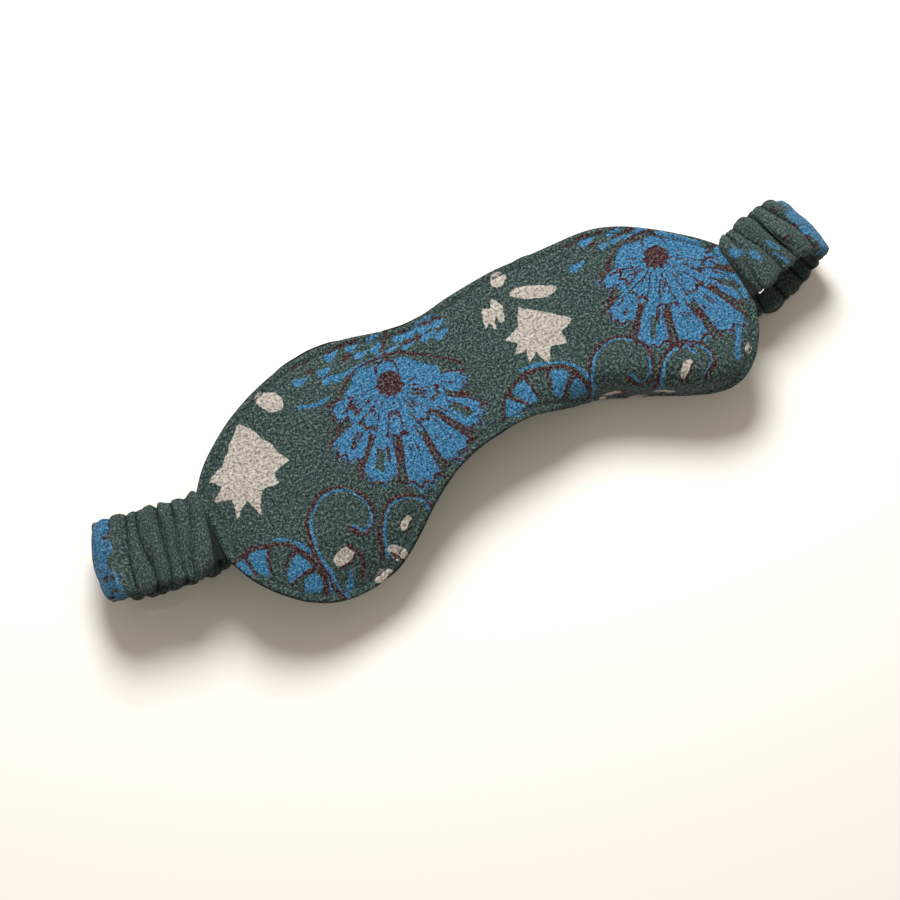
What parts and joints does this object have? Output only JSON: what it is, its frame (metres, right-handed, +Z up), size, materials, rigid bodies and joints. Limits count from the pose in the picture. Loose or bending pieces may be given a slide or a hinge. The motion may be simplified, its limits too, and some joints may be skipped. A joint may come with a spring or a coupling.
{
  "type": "sleep mask",
  "caption": "Padded cotton sleep mask covering both eyes, lying face up on its gathered elastic head strap sewn into both side seams.",
  "frame": {"origin": "middle of the whole object's footprint, on the surface that the strap's back run rests on", "axes": "+X along the mask from the left side seam to the right one as seen on its printed front, +Y towards the forehead edge, +Z up, out of the printed front"},
  "size_m": [0.2938, 0.0882, 0.0297],
  "materials": {
    "printed_cotton": "matte",
    "lining_cotton": "matte",
    "blackout_cloth": "matte",
    "wadding": "matte",
    "thread": "satin",
    "elastic": "matte"
  },
  "bodies": {
    "strap_back": {"casing_back_run": "printed_cotton", "casing_left_bend_lower": "printed_cotton", "casing_right_bend_lower": "printed_cotton", "elastic_back_run": "elastic"},
    "strap_ends": {"casing_left_arm": "printed_cotton", "casing_left_bend_upper": "printed_cotton", "elastic_left_arm": "elastic", "casing_right_arm": "printed_cotton", "casing_right_bend_upper": "printed_cotton", "elastic_right_arm": "elastic"},
    "mask": {"back_lining": "lining_cotton", "lining_seam_allowance": "lining_cotton", "blackout_interlining": "blackout_cloth", "wadding": "wadding", "topstitch_needle_thread": "thread", "topstitch_bobbin_thread": "thread", "rim_seam_thread": "thread", "front_panel": "printed_cotton", "front_seam_allowance": "printed_cotton", "casing_end_left": "printed_cotton", "casing_end_right": "printed_cotton", "elastic_end_left": "elastic", "elastic_end_right": "elastic"}
  },
  "joints": [
    {"name": "strap_stretch", "type": "slide", "parent": "strap_back", "child": "strap_ends", "axis": [0, 0, 1], "range_m": [0, 0.05], "stiffness_N_per_m": 30},
    {"name": "mask_swing", "type": "hinge", "parent": "strap_ends", "child": "mask", "pos_m": [0.0008, -0.00065, 0.026], "axis": [1, 0, 0], "range_deg": [-30, 0], "stiffness_Nm_per_rad": 0.03}
  ]
}
